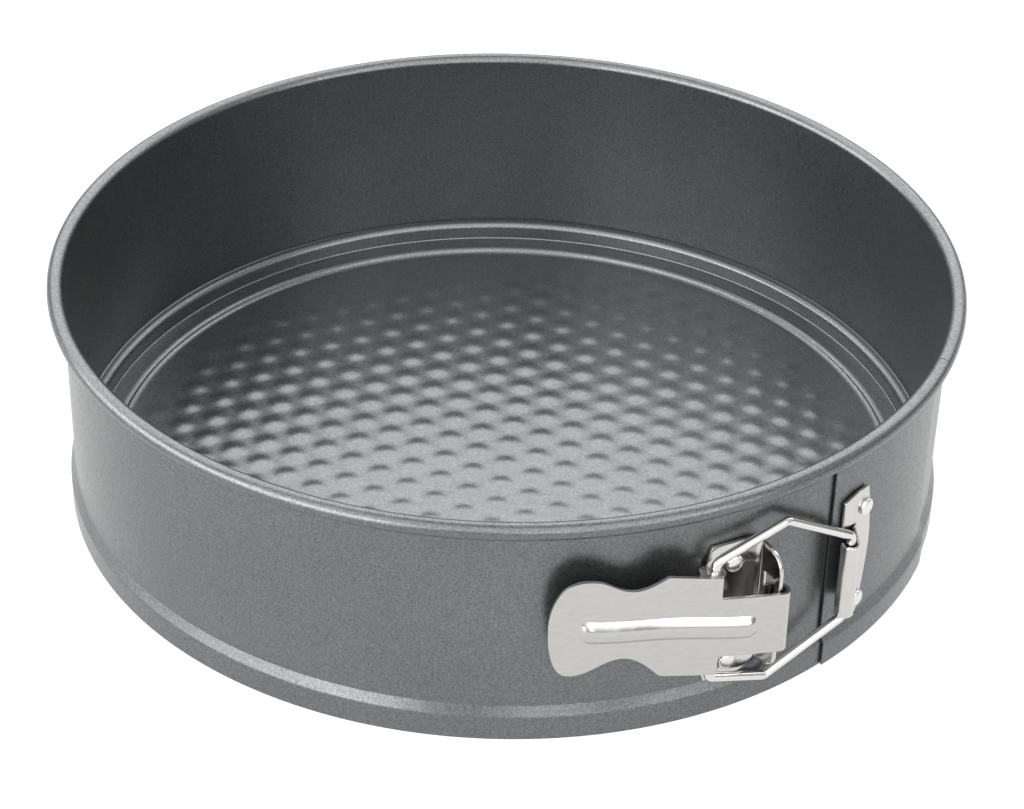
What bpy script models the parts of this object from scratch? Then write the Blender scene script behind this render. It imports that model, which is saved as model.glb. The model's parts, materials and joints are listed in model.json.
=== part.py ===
"""Springform cake pan, 24 cm: a sprung band, a loose floor plate and an over-centre wire latch.

Frame: metres, +Z up. The origin is the centre of the floor plate's underside, and the pan's
axis is Z. The band's overlap seam is on the -Y side, and the latch sits beside it. Heights in
this file are written above the table that the band stands on, and lift() turns them into Z.
"""
import math

import bmesh
import bpy
from mathutils import Matrix, Vector

MM = 0.001

# Pan body
TABLE_Z = -1.6 * MM          # the band's lower edge: the floor plate hangs clear of the table
WALL_R = 120.0 * MM          # outside of the plain wall
BAND_T = 0.5 * MM            # band sheet
SKIRT_R = 121.4 * MM         # outside of the bottom bead's skirt
SKIRT_TOP = 5.2 * MM
SHOULDER_TOP = 9.6 * MM      # where the bead's shoulder meets the wall
CURL_R = 2.25 * MM           # outside radius of the rolled rim
RIM_TOP = 66.7 * MM
FLAP_STEP = 0.8 * MM         # the outer end of the band is joggled out by this much
FLAP_TOP = 61.6 * MM         # its plain top edge tucks under the rolled rim

# Stations around the pan, in degrees from +X
BACK = 90.0
SEAM = -90.0                 # free edge of the outer end
CURL_JOINT = -65.0           # where the two rolled rims meet
STEP_DEG = 5.0
SPLIT_DEG = 0.1              # half of the gap between the two halves, at the back and the rim

# Floor plate
FLOOR_R = 119.1 * MM
FLOOR_T = 0.8 * MM

# Latch
SHEET = 0.9 * MM
WIRE_R = 1.25 * MM
FIT = 0.3 * MM               # gap between pieces that touch
PIVOT_R = 128.8 * MM         # the lever's pivot bar, from the pan's axis
PIVOT_AZ = -101.3
MID = 31.0 * MM              # mid height of the latch
RISE = 0.12                  # the lever climbs towards its free end
HOOK = (-15.8 * MM, -4.55 * MM)     # where the wire hooks on the lever, from the pivot
EYE = (27.1 * MM, -6.44 * MM)       # where the wire turns in the catch, from the pivot
RIVETS = {"base": (-105.05, (45.9 * MM, 15.6 * MM)), "catch": (-84.55, (44.8 * MM, 15.7 * MM))}
RIVET_HEAD_R = 2.35 * MM
RIVET_SHANK_R = 1.3 * MM

PARTS = "springform_pan"
CUTTERS = "cutters"


# ---------------------------------------------------------------- scene and helpers

def clear_scene():
    for item in list(bpy.data.objects):
        bpy.data.objects.remove(item, do_unlink=True)


def collection(name):
    found = bpy.data.collections.get(name)
    if found is None:
        found = bpy.data.collections.new(name)
        bpy.context.scene.collection.children.link(found)
    return found


def add_object(name, data, group=PARTS):
    item = bpy.data.objects.new(name, data)
    collection(group).objects.link(item)
    return item


def material(name, colour, roughness, metallic):
    made = bpy.data.materials.new(name)
    made.use_nodes = True
    shader = made.node_tree.nodes["Principled BSDF"]
    shader.inputs["Base Color"].default_value = (*colour, 1.0)
    shader.inputs["Roughness"].default_value = roughness
    shader.inputs["Metallic"].default_value = metallic
    made.diffuse_color = (*colour, 1.0)
    return made


def lift(height):
    """Z of a height above the table."""
    return TABLE_Z + height


def polar(radius, azimuth, z=0.0):
    angle = math.radians(azimuth)
    return Vector((radius * math.cos(angle), radius * math.sin(angle), z))


def latch_frame():
    """Right, outward and origin of the flat frame in which the latch is laid out."""
    origin = polar(PIVOT_R, PIVOT_AZ)
    outward = polar(1.0, PIVOT_AZ)
    return polar(1.0, PIVOT_AZ + 90.0), outward, origin


def latch_point(right, outward, z=0.0):
    across, out, origin = latch_frame()
    return origin + right * across + outward * out + Vector((0.0, 0.0, z))


def arc(centre, radius, start, end, count):
    """Points on a circle in a plane, from one angle to another in degrees."""
    points = []
    for i in range(count + 1):
        angle = math.radians(start + (end - start) * i / count)
        points.append((centre[0] + radius * math.cos(angle), centre[1] + radius * math.sin(angle)))
    return points


def offset_path(path, distance):
    """A flat path moved sideways, to the left of its direction, with mitred corners."""
    moved = []
    for i, point in enumerate(path):
        before = path[max(i - 1, 0)]
        after = path[min(i + 1, len(path) - 1)]
        first = Vector((point[0] - before[0], point[1] - before[1]))
        second = Vector((after[0] - point[0], after[1] - point[1]))
        first = second.copy() if first.length < 1e-9 else first
        second = first.copy() if second.length < 1e-9 else second
        first.normalize()
        second.normalize()
        mitre = Vector((-first.y - second.y, first.x + second.x)).normalized()
        reach = distance / max(mitre.dot(Vector((-first.y, first.x))), 0.3)
        moved.append((point[0] + mitre.x * reach, point[1] + mitre.y * reach))
    return moved


def ribbon(path, thickness):
    """Closed outline of a bent sheet seen from its edge."""
    left = offset_path(path, thickness / 2)
    right = offset_path(path, -thickness / 2)
    return left + right[::-1]


def outline_curve(name, points, thickness, group=PARTS):
    """A flat outline in its own XY plane, extruded by half its thickness each way."""
    curve = bpy.data.curves.new(name, "CURVE")
    curve.dimensions = "2D"
    curve.fill_mode = "BOTH"
    curve.extrude = thickness / 2
    spline = curve.splines.new("POLY")
    spline.points.add(len(points) - 1)
    for target, point in zip(spline.points, points):
        target.co = (point[0], point[1], 0.0, 1.0)
    spline.use_cyclic_u = True
    return add_object(name, curve, group)


def to_mesh(item, weld=1e-6):
    """Replace a curve object by a closed mesh object of the same name and place."""
    bpy.context.view_layer.update()
    graph = bpy.context.evaluated_depsgraph_get()
    mesh = bpy.data.meshes.new_from_object(item.evaluated_get(graph))
    shaper = bmesh.new()
    shaper.from_mesh(mesh)
    bmesh.ops.remove_doubles(shaper, verts=shaper.verts, dist=weld)
    bmesh.ops.recalc_face_normals(shaper, faces=shaper.faces)
    shaper.to_mesh(mesh)
    shaper.free()
    name, place, group = item.name, item.matrix_world.copy(), item.users_collection[0].name
    bpy.data.objects.remove(item, do_unlink=True)
    made = add_object(name, mesh, group)
    made.matrix_world = place
    return made


def make_cutter(item):
    item.hide_render = True
    item.display_type = "WIRE"
    return item


def boolean(target, tool, operation):
    step = target.modifiers.new(tool.name, "BOOLEAN")
    step.operation = operation
    step.solver = "EXACT"
    step.object = make_cutter(tool)


def box_cutter(name, right, outward, height):
    """A block given by its two limits along each direction of the latch frame."""
    bpy.ops.mesh.primitive_cube_add(size=1.0)
    block = bpy.context.active_object
    block.name = name
    for group in list(block.users_collection):
        group.objects.unlink(block)
    collection(CUTTERS).objects.link(block)
    size = [limits[1] - limits[0] for limits in (right, outward, height)]
    block.data.transform(Matrix.Diagonal((*size, 1.0)))
    middle = latch_point(sum(right) / 2, sum(outward) / 2, lift(sum(height) / 2))
    block.matrix_world = Matrix.Translation(middle) @ upright_axes()
    return block


def upright_axes():
    """Rotation whose X runs along the latch and whose Z stays up."""
    return Matrix.Rotation(math.radians(PIVOT_AZ + 90.0), 4, "Z")


def radial_cylinder(name, radius, azimuth, height, inner, outer, sides=20):
    """A round bar that points outwards from the pan's axis."""
    bpy.ops.mesh.primitive_cylinder_add(vertices=sides, radius=radius, depth=outer - inner)
    bar = bpy.context.active_object
    bar.name = name
    for group in list(bar.users_collection):
        group.objects.unlink(bar)
    collection(CUTTERS).objects.link(bar)
    turn = Matrix.Rotation(math.radians(azimuth), 4, "Z") @ Matrix.Rotation(math.radians(90), 4, "Y")
    bar.matrix_world = Matrix.Translation(polar((inner + outer) / 2, azimuth, lift(height))) @ turn
    return bar


def smooth(item, angle=30.0):
    item.data.shade_smooth()
    item.data.set_sharp_from_angle(angle=math.radians(angle))


def profile_mesh(name, points):
    """Edges of a profile in the XZ plane, from its first point to its last."""
    mesh = bpy.data.meshes.new(name)
    edges = [(i, i + 1) for i in range(len(points) - 1)]
    mesh.from_pydata([(point[0], 0.0, point[1]) for point in points], edges, [])
    return mesh


def turn(item, degrees, steps):
    screw = item.modifiers.new("turn", "SCREW")
    screw.axis = "Z"
    screw.angle = math.radians(degrees)
    screw.steps = steps
    screw.render_steps = steps
    screw.use_merge_vertices = True
    screw.merge_threshold = 1e-6
    screw.use_smooth_shade = True
    return screw


# ---------------------------------------------------------------- band

def band_section(step=0.0, curled=True):
    """Mid line of the band's sheet, from the rim down to the lower edge."""
    half = BAND_T / 2
    wall = WALL_R - half + step
    skirt = SKIRT_R - half + step
    points = []
    if curled:
        roll = CURL_R - half
        centre = (WALL_R - BAND_T + CURL_R + step, RIM_TOP - CURL_R)
        points += arc(centre, roll, -120.0, 180.0, 10)
    else:
        points.append((wall, FLAP_TOP))
    points += [(wall, SHOULDER_TOP), (skirt, SKIRT_TOP), (skirt, 0.0)]
    return [(radius, lift(height)) for radius, height in points]


def band_sector(name, start, end, section, thickness=BAND_T, group=PARTS):
    sector = add_object(name, profile_mesh(name, section), group)
    sector.rotation_euler.z = math.radians(start)
    turn(sector, end - start, max(1, round((end - start) / STEP_DEG)))
    shell = sector.modifiers.new("sheet", "SOLIDIFY")
    shell.thickness = thickness
    shell.offset = 0.0
    shell.use_even_offset = True
    return sector


def drill_rivet_holes(item, which, inner, outer):
    azimuth, heights = RIVETS[which]
    for i, height in enumerate(heights):
        name = f"{item.name}_rivet_hole_{i + 1}"
        boolean(item, radial_cylinder(name, RIVET_SHANK_R + FIT, azimuth, height, inner, outer),
                "DIFFERENCE")


def make_band_left(finish):
    """The half under the seam: its rolled rim and wall run on behind the outer end."""
    half = band_sector("band_left_half", BACK + SPLIT_DEG, 360.0 + CURL_JOINT - SPLIT_DEG,
                       band_section())
    drill_rivet_holes(half, "base", 0.95 * WALL_R, 1.05 * WALL_R)
    half.data.materials.append(finish)


def make_band_right(finish):
    """The half with the outer end: a plain flap that lies over the other half's end."""
    half = band_sector("band_right_half", CURL_JOINT + SPLIT_DEG, BACK - SPLIT_DEG, band_section())
    flap = band_sector("band_flap", SEAM, CURL_JOINT + SPLIT_DEG + 1.0,
                       band_section(FLAP_STEP, curled=False), group=CUTTERS)
    join_t = FLAP_STEP + BAND_T - 0.1 * MM
    joggle = band_sector("band_joggle", CURL_JOINT + 0.4, CURL_JOINT + 3.0,
                         band_section(FLAP_STEP / 2, curled=False), join_t, CUTTERS)
    boolean(half, joggle, "UNION")
    boolean(half, flap, "UNION")
    drill_rivet_holes(half, "catch", 0.95 * WALL_R, 1.05 * WALL_R)
    half.data.materials.append(finish)


# ---------------------------------------------------------------- floor plate

def make_floor(finish):
    """A pressed plate: flat floor, a step up, a flat ring and a folded rim."""
    inner_r, ring_z = 109.8 * MM, 1.6 * MM
    fold_in, crown_z = 116.4 * MM, 7.6 * MM
    lip_z = 2.6 * MM
    top = [(0.0, FLOOR_T), (inner_r, FLOOR_T), (inner_r + 1.4 * MM, ring_z + FLOOR_T),
           (fold_in - 1.0 * MM, ring_z + FLOOR_T), (fold_in, ring_z + 2.0 * FLOOR_T)]
    crown_r = (FLOOR_R - fold_in) / 2
    crown = arc((fold_in + crown_r, crown_z - crown_r), crown_r, 180.0, 0.0, 6)
    inside_r = crown_r - FLOOR_T
    under = arc((fold_in + crown_r, crown_z - crown_r), inside_r, 0.0, 180.0, 4)
    bottom = [(FLOOR_R, lip_z), (FLOOR_R - FLOOR_T, lip_z)] + under
    bottom += [(fold_in + FLOOR_T, ring_z + 1.1 * FLOOR_T), (fold_in - 0.5 * MM, ring_z),
               (inner_r + 1.6 * MM, ring_z), (inner_r + 0.2 * MM, 0.0), (0.0, 0.0)]
    plate = add_object("floor_plate", profile_mesh("floor_plate", top + crown + bottom))
    turn(plate, 360.0, 72)
    plate.data.materials.append(finish)


# ---------------------------------------------------------------- latch

def make_base_bracket(finish):
    """Angle bracket: a plate riveted to the wall and an ear that stands out from it.

    The ear has a window, and the strip left outside the window is the lever's pivot bar.
    """
    inner = WALL_R + FIT
    thick = 1.0 * MM
    mid_r = inner + thick / 2
    top, bottom = 52.0 * MM, 10.8 * MM
    plate = [tuple(polar(mid_r, azimuth)[:2]) for azimuth in (-108.1, -106.1, -104.1, -102.3)]
    ear = [tuple(latch_point(0.0, out)[:2]) for out in (-7.2 * MM, 1.2 * MM)]
    bracket = outline_curve("base_bracket", ribbon(plate + ear, thick), top - bottom)
    bracket.location.z = lift((top + bottom) / 2)
    bracket = to_mesh(bracket)
    ear_side = (-0.9 * MM, 3.0 * MM)
    window = box_cutter("ear_window", ear_side, (-6.6 * MM, -1.2 * MM), (19.8 * MM, 42.2 * MM))
    boolean(bracket, window, "DIFFERENCE")
    ear_depth = (-8.0 * MM, 4.0 * MM)
    for name, trimmed in (("ear_top", (50.0 * MM, 56.0 * MM)), ("ear_bottom", (5.0 * MM, 14.8 * MM))):
        boolean(bracket, box_cutter(name, ear_side, ear_depth, trimmed), "DIFFERENCE")
    drill_rivet_holes(bracket, "base", 0.95 * WALL_R, 1.05 * WALL_R)
    bracket.data.materials.append(finish)


def lever_plan():
    """Mid line of the lever's sheet from above: free end, gentle arc, then the hem."""
    hem_r, hem_middle = 2.15 * MM, 0.8 * MM
    start, swing, length = 12.0, 12.0, 59.2 * MM
    count = 12
    hem = arc((hem_middle, 0.0), hem_r, 90.0 + start, -90.0, 8) + [(-3.0 * MM, -hem_r)]
    spot = Vector(hem[0])
    points = []
    for i in range(count):
        angle = math.radians(start + swing * (i + 0.5) / count)
        spot = spot - Vector((math.cos(angle), math.sin(angle))) * (length / count)
        points.append(tuple(spot))
    return points[::-1] + hem


def lever_edge(tongue, notch, wide, corner, waist, lobe, end, exponent):
    """One long edge of the lever, from the hem to the free end, as (right, distance)."""
    sweep = 8
    side = [(5.0 * MM, tongue), (notch, tongue), (notch, wide), corner]
    for i in range(1, sweep + 1):
        share = i / sweep
        side.append((corner[0] + (waist[0] - corner[0]) * share,
                     waist[1] + (corner[1] - waist[1]) * (1.0 - math.sin(math.pi / 2 * share))))
    for i in range(1, sweep + 1):
        share = i / sweep
        side.append((waist[0] + (lobe[0] - waist[0]) * share,
                     waist[1] + (lobe[1] - waist[1]) * (0.5 - 0.5 * math.cos(math.pi * share))))
    for i in range(1, sweep + 1):
        share = math.sin(math.pi / 2 * i / sweep)
        side.append((lobe[0] + (end - lobe[0]) * share, lobe[1] * (1.0 - share ** exponent) ** 0.5))
    return side


def lever_outline():
    """Front outline of the lever as (right, height over the mid line), going round."""
    end = -57.5 * MM
    upper = lever_edge(9.4 * MM, -15.4 * MM, 15.2 * MM, (-28.7 * MM, 16.2 * MM),
                       (-37.0 * MM, 12.2 * MM), (-45.8 * MM, 14.9 * MM), end, 2.3)
    lower = lever_edge(9.4 * MM, -16.0 * MM, 14.5 * MM, (-29.7 * MM, 13.9 * MM),
                       (-38.4 * MM, 8.1 * MM), (-51.6 * MM, 13.6 * MM), end, 2.0)
    both = upper + [(right, -height) for right, height in lower[:-1]][::-1]
    return [(right, height - RISE * right) for right, height in both]


def front_plate(name, outline, thickness, group):
    """Stand a flat outline upright in the latch frame, centred on the pivot's depth."""
    plate = outline_curve(name, outline, thickness, group)
    facing = Matrix.Rotation(math.radians(90.0), 4, "X")
    plate.matrix_world = Matrix.Translation(latch_point(0.0, 0.0, lift(MID))) @ upright_axes() @ facing
    return to_mesh(plate)


def make_lever(finish):
    """Stamped lever: the bent sheet is cut to the front outline, then gets two hook ears."""
    tall = 60.0 * MM
    plan = [tuple(latch_point(right, out)[:2]) for right, out in ribbon(lever_plan(), SHEET)]
    lever = outline_curve("lever", plan, tall)
    lever.location.z = lift(MID)
    lever = to_mesh(lever)
    boolean(lever, front_plate("lever_outline", lever_outline(), tall, CUTTERS), "INTERSECT")
    middle = MID - RISE * HOOK[0]
    for name, sign, reach in (("ear_upper", 1.0, 15.2 * MM), ("ear_lower", -1.0, 14.5 * MM)):
        edge = middle + sign * reach
        inner = edge - sign * SHEET
        ear = box_cutter(name, (HOOK[0] - 2.6 * MM, HOOK[0] + 0.2 * MM),
                         (HOOK[1] - 2.4 * MM, HOOK[1] + 3.0 * MM), sorted((edge, inner)))
        boolean(lever, ear, "UNION")
    lever.data.materials.append(finish)


def rounded(points, radius, count=5):
    """A path of straight runs in space, with its corners turned to arcs."""
    path = [points[0]]
    for before, corner, after in zip(points, points[1:], points[2:]):
        back = (before - corner).normalized()
        ahead = (after - corner).normalized()
        half = back.angle(ahead) / 2
        cut = min(radius / math.tan(half), 0.45 * min((before - corner).length,
                                                       (after - corner).length))
        start, end = corner + back * cut, corner + ahead * cut
        for i in range(count + 1):
            share = i / count
            path.append(start.lerp(corner, share).lerp(corner.lerp(end, share), share))
    path.append(points[-1])
    return path


def wire_point(along, height):
    """A point of the wire, which lies in the upright plane from the hook to the eye."""
    share = along / (Vector(EYE) - Vector(HOOK)).length
    spot = Vector(HOOK).lerp(Vector(EYE), share)
    return latch_point(spot.x, spot.y, lift(height))


def make_wire(finish):
    """Closed-ended wire bail: down the eye, two bent legs, and a hook at each end."""
    length = (Vector(EYE) - Vector(HOOK)).length
    route = [(0.0, 48.4), (0.0, 50.9), (21.3, 54.9), (None, 41.8), (None, 16.1), (18.0, 7.5),
             (0.0, 15.4), (0.0, 18.05)]
    points = [wire_point(length if along is None else along * MM, height * MM)
              for along, height in route]
    curve = bpy.data.curves.new("wire_bail", "CURVE")
    curve.dimensions = "3D"
    curve.bevel_depth = WIRE_R
    curve.bevel_resolution = 2
    curve.use_fill_caps = True
    spline = curve.splines.new("POLY")
    path = rounded(points, 2.2 * MM)
    spline.points.add(len(path) - 1)
    for target, point in zip(spline.points, path):
        target.co = (*point, 1.0)
    wire = to_mesh(add_object("wire_bail", curve))
    wire.data.materials.append(finish)
    smooth(wire, 60.0)


def catch_section():
    """Mid line of the catch from above: flat on the wall, out over the wire, and round it."""
    eye = latch_point(*EYE)
    azimuth = math.degrees(math.atan2(eye.y, eye.x))
    out, along = polar(1.0, azimuth), polar(1.0, azimuth + 90.0)
    roll = arc((0.0, 0.0), 2.1 * MM, 31.0, 232.0, 9)
    plate_r = WALL_R + FLAP_STEP + FIT + SHEET / 2
    flat = [tuple(polar(plate_r, station)[:2]) for station in (-83.2, -84.6, -86.0)]
    return flat + [tuple((eye + along * right + out * up)[:2]) for right, up in roll]


def make_catch(finish):
    """Catch plate riveted to the flap, with a rolled eye for the wire's upright."""
    top, bottom = 50.7 * MM, 10.8 * MM
    eye_top, eye_bottom = 39.6 * MM, 17.6 * MM
    tab_low, tab_high = 41.3 * MM, 50.4 * MM
    catch = outline_curve("catch", ribbon(catch_section(), SHEET), top - bottom)
    catch.location.z = lift((top + bottom) / 2)
    catch = to_mesh(catch)
    roll_side, depth = (20.0 * MM, 32.2 * MM), (-14.0 * MM, 2.0 * MM)
    boolean(catch, box_cutter("eye_top", roll_side, depth, (eye_top, 60.0 * MM)), "DIFFERENCE")
    boolean(catch, box_cutter("eye_bottom", roll_side, depth, (0.0, eye_bottom)), "DIFFERENCE")
    tab_r = WALL_R + FLAP_STEP + FIT + SHEET / 2
    stations = [tuple(polar(tab_r, station)[:2]) for station in (-85.7, -87.2, -88.7)]
    tab = outline_curve("catch_tab", ribbon(stations, SHEET - 0.1 * MM),
                        tab_high - tab_low, CUTTERS)
    tab.location.z = lift((tab_low + tab_high) / 2)
    boolean(catch, to_mesh(tab), "UNION")
    drill_rivet_holes(catch, "catch", 0.95 * WALL_R, 1.05 * WALL_R)
    catch.data.materials.append(finish)


def make_rivet(name, azimuth, height, tail_r, plate_r, finish):
    """Domed rivet: head on the plate, shank through plate and wall, tail flush inside."""
    head_under = plate_r + FIT
    rise = 1.3 * MM
    dome = [(RIVET_HEAD_R * math.sin(math.radians(a)), head_under + rise * math.cos(math.radians(a)))
            for a in range(0, 91, 18)]
    points = dome + [(RIVET_SHANK_R, head_under), (RIVET_SHANK_R, tail_r), (0.0, tail_r)]
    rivet = add_object(name, profile_mesh(name, points))
    turn(rivet, 360.0, 20)
    turned = Matrix.Rotation(math.radians(azimuth), 4, "Z") @ Matrix.Rotation(math.radians(90), 4, "Y")
    rivet.matrix_world = Matrix.Translation(Vector((0.0, 0.0, lift(height)))) @ turned
    rivet.data.materials.append(finish)


def make_rivets(finish):
    outer_wall = {"base": WALL_R, "catch": WALL_R + FLAP_STEP}
    plate_t = {"base": 1.0 * MM, "catch": SHEET}
    for which, (azimuth, heights) in RIVETS.items():
        wall = outer_wall[which]
        for place, height in zip(("upper", "lower"), heights):
            make_rivet(f"{which}_rivet_{place}", azimuth, height, wall - BAND_T + 0.1 * MM,
                       wall + FIT + plate_t[which], finish)


# ---------------------------------------------------------------- assembly

def add_joint_axes():
    """Empties on the joint axes, with the moving pieces as their children."""
    places = {"lever_pivot": latch_point(0.0, 0.0, lift(MID)),
              "wire_pivot": latch_point(*EYE, lift(MID)),
              "band_hinge": Vector((0.0, 124.8 * MM, lift(MID)))}
    riders = {"lever_pivot": ["lever"], "wire_pivot": ["wire_bail"],
              "band_hinge": ["band_right_half", "catch", "catch_rivet_upper", "catch_rivet_lower"]}
    for name, place in places.items():
        axis = add_object(name, None)
        axis.location = place
        for rider in riders[name]:
            piece = bpy.data.objects[rider]
            piece.parent = axis
            piece.matrix_parent_inverse = Matrix.Translation(-place)


def build():
    clear_scene()
    coated = material("non_stick_coating", (0.17, 0.175, 0.18), 0.45, 0.6)
    bright = material("bright_steel", (0.72, 0.71, 0.69), 0.25, 1.0)
    make_band_left(coated)
    make_band_right(coated)
    make_floor(material("floor_coating", (0.19, 0.195, 0.2), 0.42, 0.6))
    make_base_bracket(bright)
    make_lever(bright)
    make_wire(material("bright_wire", (0.75, 0.74, 0.72), 0.18, 1.0))
    make_catch(bright)
    make_rivets(material("rivet_steel", (0.7, 0.7, 0.7), 0.3, 1.0))
    bpy.context.view_layer.update()
    add_joint_axes()


build()
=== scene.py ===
"""Springform cake pan: the finished looks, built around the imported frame.

Everything is in metres, in the frame's own axes. Heights are written above the table that the
band stands on, and lift() turns them into Z. The latch is laid out in its own flat frame: right
runs along the wall, outward away from it, and both start at the lever's pivot.
"""

import json
import math

import bmesh
import bpy
from mathutils import Matrix, Vector
from mathutils.geometry import delaunay_2d_cdt


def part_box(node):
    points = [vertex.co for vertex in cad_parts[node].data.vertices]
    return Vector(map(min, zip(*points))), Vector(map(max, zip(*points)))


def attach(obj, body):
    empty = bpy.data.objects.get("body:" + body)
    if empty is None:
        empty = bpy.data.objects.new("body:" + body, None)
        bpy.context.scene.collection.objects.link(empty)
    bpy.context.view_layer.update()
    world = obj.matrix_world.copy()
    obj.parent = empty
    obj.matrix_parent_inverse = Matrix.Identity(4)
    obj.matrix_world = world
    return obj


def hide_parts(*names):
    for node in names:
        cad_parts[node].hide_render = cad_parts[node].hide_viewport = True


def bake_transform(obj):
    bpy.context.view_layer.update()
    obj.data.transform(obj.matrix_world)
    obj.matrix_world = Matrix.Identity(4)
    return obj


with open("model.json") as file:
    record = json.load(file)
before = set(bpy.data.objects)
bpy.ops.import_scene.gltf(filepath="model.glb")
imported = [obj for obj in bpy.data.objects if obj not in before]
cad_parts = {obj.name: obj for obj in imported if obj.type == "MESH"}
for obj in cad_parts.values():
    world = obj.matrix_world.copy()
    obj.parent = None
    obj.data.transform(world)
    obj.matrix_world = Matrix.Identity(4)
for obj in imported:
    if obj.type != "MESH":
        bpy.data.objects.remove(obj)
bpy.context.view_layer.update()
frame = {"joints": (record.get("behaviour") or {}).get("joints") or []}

MM = 0.001

# Band
BAND_T = 0.5 * MM
WALL_R = 119.75 * MM             # middle of the wall's sheet
CURL_R = 2.0 * MM                # middle of the rolled rim's sheet
SKIRT_OUT = 1.4 * MM             # how far the bottom bead stands out
CREASE_H = 9.6 * MM              # where the bead's shoulder leaves the wall
SHOULDER = 26.0                  # degrees between the shoulder and the upright
FLAP_STEP = 0.8 * MM
FLAP_TOP = 61.6 * MM
SEAM, CURL_JOINT = -90.0, -65.0  # stations around the pan, in degrees from +X
JOGGLE = 3.6                     # degrees over which the outer end steps back in
JOGGLE_RISE = 2.0 * MM           # height over which that step fades below the rim
BEND_LEFT, BEND_RIGHT = 120.0, 60.0
COLUMN = 1.0                     # degrees between the columns of the band's mesh
ROLL_FROM, ROLL_TO = -136.0, 180.0   # the rim's roll, from its hidden edge round to the wall
RIM_GAP = 0.1                    # degrees between the ends of the two rolled rims

# Floor plate
FLOOR_T = 0.8 * MM
FLOOR_SHEET = FLOOR_T * 0.97     # the plate is drawn a little thinner than the CAD solid
STEP_R = 110.3 * MM               # middle of the step up to the ring
RING_Z = 1.6 * MM
BUMP_PITCH, BUMP_R, BUMP_H = 9.9 * MM, 4.4 * MM, 0.55 * MM
BUMP_AXIS = -19.3                # degrees, one row direction of the bumps
BUMP_START = (3.9 * MM, 1.6 * MM)
BUMP_FIELD = 102.0 * MM          # the outermost bumps' centres lie within this
FIELD_EDGE = BUMP_FIELD + BUMP_R + 1.2 * MM
BUMP_PARTS = 9                   # steps of the plate's mesh between two bumps
FADE_FROM, FADE_OVER = 0.93, 0.09    # the bumps get lower near the edge of their field
EDGE_BUMP = 0.25                 # how tall the outermost ones still are
RIM_SPOKES = 360

# Latch
SHEET = 0.9 * MM
WIRE_R = 1.25 * MM
LEVER_LENGTH = 59.2 * MM
LOBE = 48.2 * MM                 # widest place of the lever's free end
LEVER_RISE = 0.12                # the lever climbs towards its free end
HOOK = (-15.8 * MM, -4.55 * MM)  # where the wire hooks on the lever's ears


# ---------------------------------------------------------------- places from the frame

def joint_place(name):
    return Vector(next(joint["pos_m"] for joint in frame["joints"] if joint["name"] == name))


TABLE_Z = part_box("band_left_half")[0].z
RIM_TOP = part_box("band_left_half")[1].z - TABLE_Z
PIVOT = joint_place("lever_swing")
OUTWARD = Vector((PIVOT.x, PIVOT.y, 0.0)).normalized()
ACROSS = Vector((-OUTWARD.y, OUTWARD.x, 0.0))
MID = PIVOT.z - TABLE_Z
_eye = joint_place("wire_swing") - PIVOT
EYE = (_eye.dot(ACROSS), _eye.dot(OUTWARD))


def lift(height):
    return TABLE_Z + height


def polar(radius, azimuth, z=0.0):
    angle = math.radians(azimuth)
    return Vector((radius * math.cos(angle), radius * math.sin(angle), z))


def latch_point(right, outward, height):
    flat = Vector((PIVOT.x, PIVOT.y, 0.0)) + ACROSS * right + OUTWARD * outward
    return flat + Vector((0.0, 0.0, lift(height)))


def smoothstep(share):
    share = min(1.0, max(0.0, share))
    return share * share * (3.0 - 2.0 * share)


def arc(centre, radius, start, end, count):
    angles = [math.radians(start + (end - start) * i / count) for i in range(count + 1)]
    return [(centre[0] + radius * math.cos(a), centre[1] + radius * math.sin(a)) for a in angles]


# ---------------------------------------------------------------- mesh helpers

def add_object(name, mesh):
    item = bpy.data.objects.new(name, mesh)
    bpy.context.scene.collection.objects.link(item)
    return item


def grid_sheet(name, columns, rows, place, keep=lambda i, j: True):
    """A sheet's middle surface: place(i, j) for every corner, and the cells that keep() allows."""
    used, points, faces = {}, [], []

    def corner(i, j):
        if (i, j) not in used:
            used[i, j] = len(points)
            points.append(place(i, j))
        return used[i, j]

    for i in range(columns):
        for j in range(rows):
            if keep(i, j):
                faces.append((corner(i, j), corner(i + 1, j), corner(i + 1, j + 1), corner(i, j + 1)))
    mesh = bpy.data.meshes.new(name)
    mesh.from_pydata(points, [], faces)
    return add_object(name, mesh)


def thicken(item, thickness, offset=0.0, even=True):
    sheet = item.modifiers.new("sheet", "SOLIDIFY")
    sheet.thickness = thickness
    sheet.offset = offset
    sheet.use_even_offset = even
    sheet.use_quality_normals = True


def round_edges(item, width, segments=2, angle=40.0):
    edge = item.modifiers.new("edges", "BEVEL")
    edge.width = width
    edge.segments = segments
    edge.limit_method = "ANGLE"
    edge.angle_limit = math.radians(angle)


def apply_modifiers(item, sharp):
    """Bake the modifiers into the mesh, point its faces outwards and shade it smooth."""
    bpy.context.view_layer.update()
    graph = bpy.context.evaluated_depsgraph_get()
    mesh = bpy.data.meshes.new_from_object(item.evaluated_get(graph))
    item.modifiers.clear()
    if item.type == "CURVE":
        name = item.name
        bpy.data.objects.remove(item, do_unlink=True)
        item = add_object(name, mesh)
    else:
        item.data = mesh
    shaper = bmesh.new()
    shaper.from_mesh(mesh)
    bmesh.ops.remove_doubles(shaper, verts=shaper.verts, dist=1e-6)
    bmesh.ops.recalc_face_normals(shaper, faces=shaper.faces)
    shaper.to_mesh(mesh)
    shaper.free()
    mesh.shade_smooth()
    mesh.set_sharp_from_angle(angle=math.radians(sharp))
    return item


def finish_piece(item, body, nodes, material):
    item.data.materials.clear()
    item.data.materials.append(material)
    if body:
        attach(item, body)
    if nodes:
        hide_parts(*nodes)


# ---------------------------------------------------------------- materials

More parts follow.
